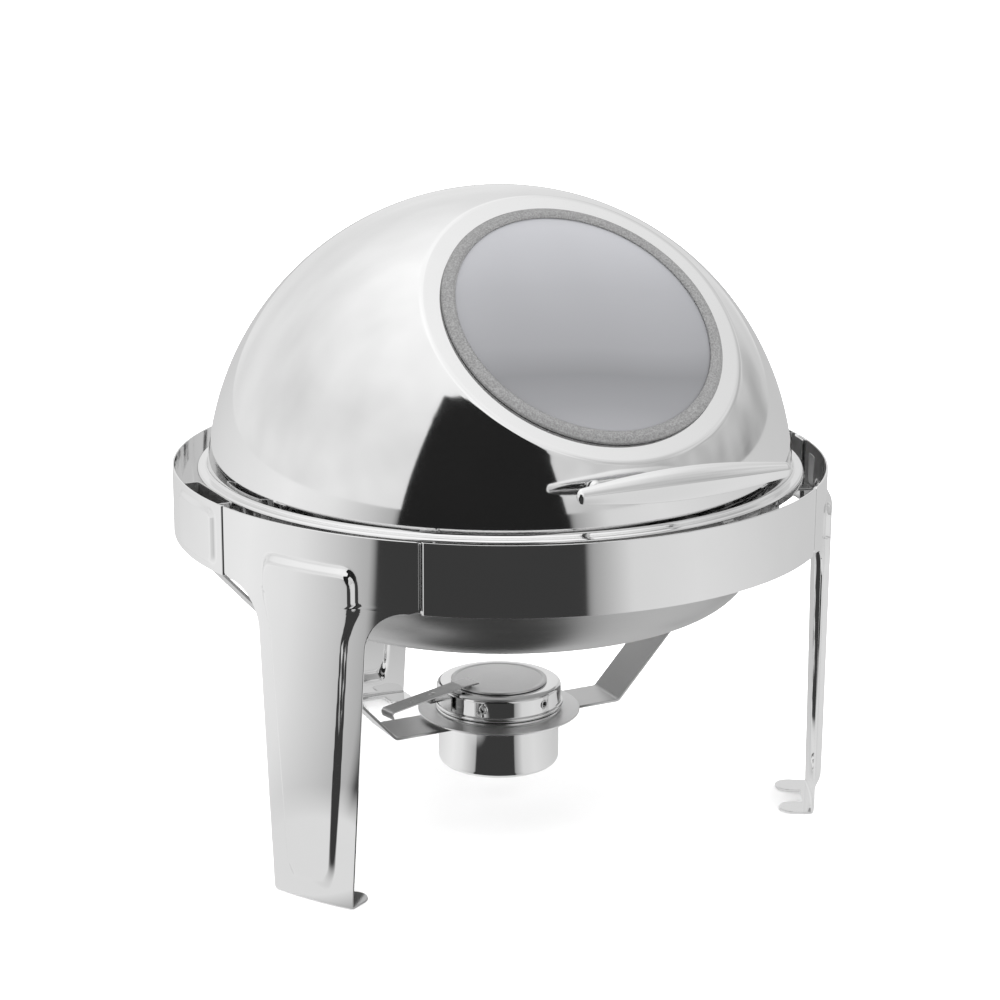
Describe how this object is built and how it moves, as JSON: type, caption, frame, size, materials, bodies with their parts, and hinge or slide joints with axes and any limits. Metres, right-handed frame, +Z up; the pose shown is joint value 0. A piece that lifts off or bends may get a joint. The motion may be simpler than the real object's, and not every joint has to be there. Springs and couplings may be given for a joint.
{
  "type": "roll top chafer",
  "caption": "Round stainless roll top chafer: domed lid with a round window rolls back into a three-legged stand, over nested pans and a fuel burner.",
  "frame": {"origin": "on the table under the middle of the outer box; the ring's and dome's axis is 11 mm behind it (at y = +0.011)", "axes": "+Z up, -Y towards the guest (the side of the lid handle and window), +X to the right of someone who looks along +Y"},
  "size_m": [0.475, 0.4978, 0.4539],
  "materials": {
    "mirror_steel": "mirror-polished stainless steel sheet",
    "satin_steel": "satin stainless steel with a fine even grain",
    "plain_steel": "bright unpolished stainless steel",
    "silicone": "grey matt silicone rubber",
    "window_glass": "clear tempered glass with a faint grey tint",
    "black_rubber": "matt black rubber",
    "white_nylon": "natural white nylon"
  },
  "bodies": {
    "stand": {"band_front": "mirror_steel", "band_left": "mirror_steel", "band_right": "mirror_steel", "burner_shelf": "satin_steel", "food_pan": "satin_steel", "hoop_arm_front_left": "satin_steel", "hoop_arm_front_right": "satin_steel", "hoop_arm_side_left": "satin_steel", "hoop_arm_side_right": "satin_steel", "leg_front_left": "mirror_steel", "leg_front_right": "mirror_steel", "leg_rear": "mirror_steel", "lid_bumper_left": "black_rubber", "lid_bumper_right": "black_rubber", "lid_rest_left": "satin_steel", "lid_rest_right": "satin_steel", "pan_hoop": "satin_steel", "pivot_channel_left": "satin_steel", "pivot_channel_right": "satin_steel", "pivot_nut_left": "plain_steel", "pivot_nut_right": "plain_steel", "pivot_pin_left": "plain_steel", "pivot_pin_right": "plain_steel", "pivot_washer_left": "white_nylon", "pivot_washer_right": "white_nylon", "strap_left": "satin_steel", "strap_right": "satin_steel", "strap_rivet_front_left": "plain_steel", "strap_rivet_front_right": "plain_steel", "strap_rivet_rear_left": "plain_steel", "strap_rivet_rear_right": "plain_steel", "water_pan": "satin_steel"},
    "lid": {"lid_dome": "mirror_steel", "window_gasket": "silicone", "window_glass": "window_glass", "lid_ear_left": "satin_steel", "lid_ear_right": "satin_steel", "lid_handle": "mirror_steel", "handle_post_left": "mirror_steel", "handle_post_right": "mirror_steel", "handle_screw_left": "plain_steel", "handle_screw_right": "plain_steel"},
    "burner": {"burner_cup": "mirror_steel", "burner_cap": "mirror_steel", "cover_bracket": "plain_steel", "cover_pivot_rivet": "plain_steel"},
    "cover": {"burner_cover": "satin_steel", "cover_strip": "plain_steel", "cover_rivet_inner": "plain_steel", "cover_rivet_outer": "plain_steel"}
  },
  "joints": [
    {"name": "lid_roll", "type": "hinge", "parent": "stand", "child": "lid", "pos_m": [0, 0.011, 0.2435], "axis": [-1, 0, 0], "range_deg": [0, 72]},
    {"name": "burner_lift", "type": "slide", "parent": "stand", "child": "burner", "axis": [0, 0, 1], "range_m": [0, 0.035]},
    {"name": "cover_swivel", "type": "hinge", "parent": "burner", "child": "cover", "pos_m": [-0.06007, 0.00041, 0.0898], "axis": [0, 0, 1], "range_deg": [0, 75]}
  ]
}
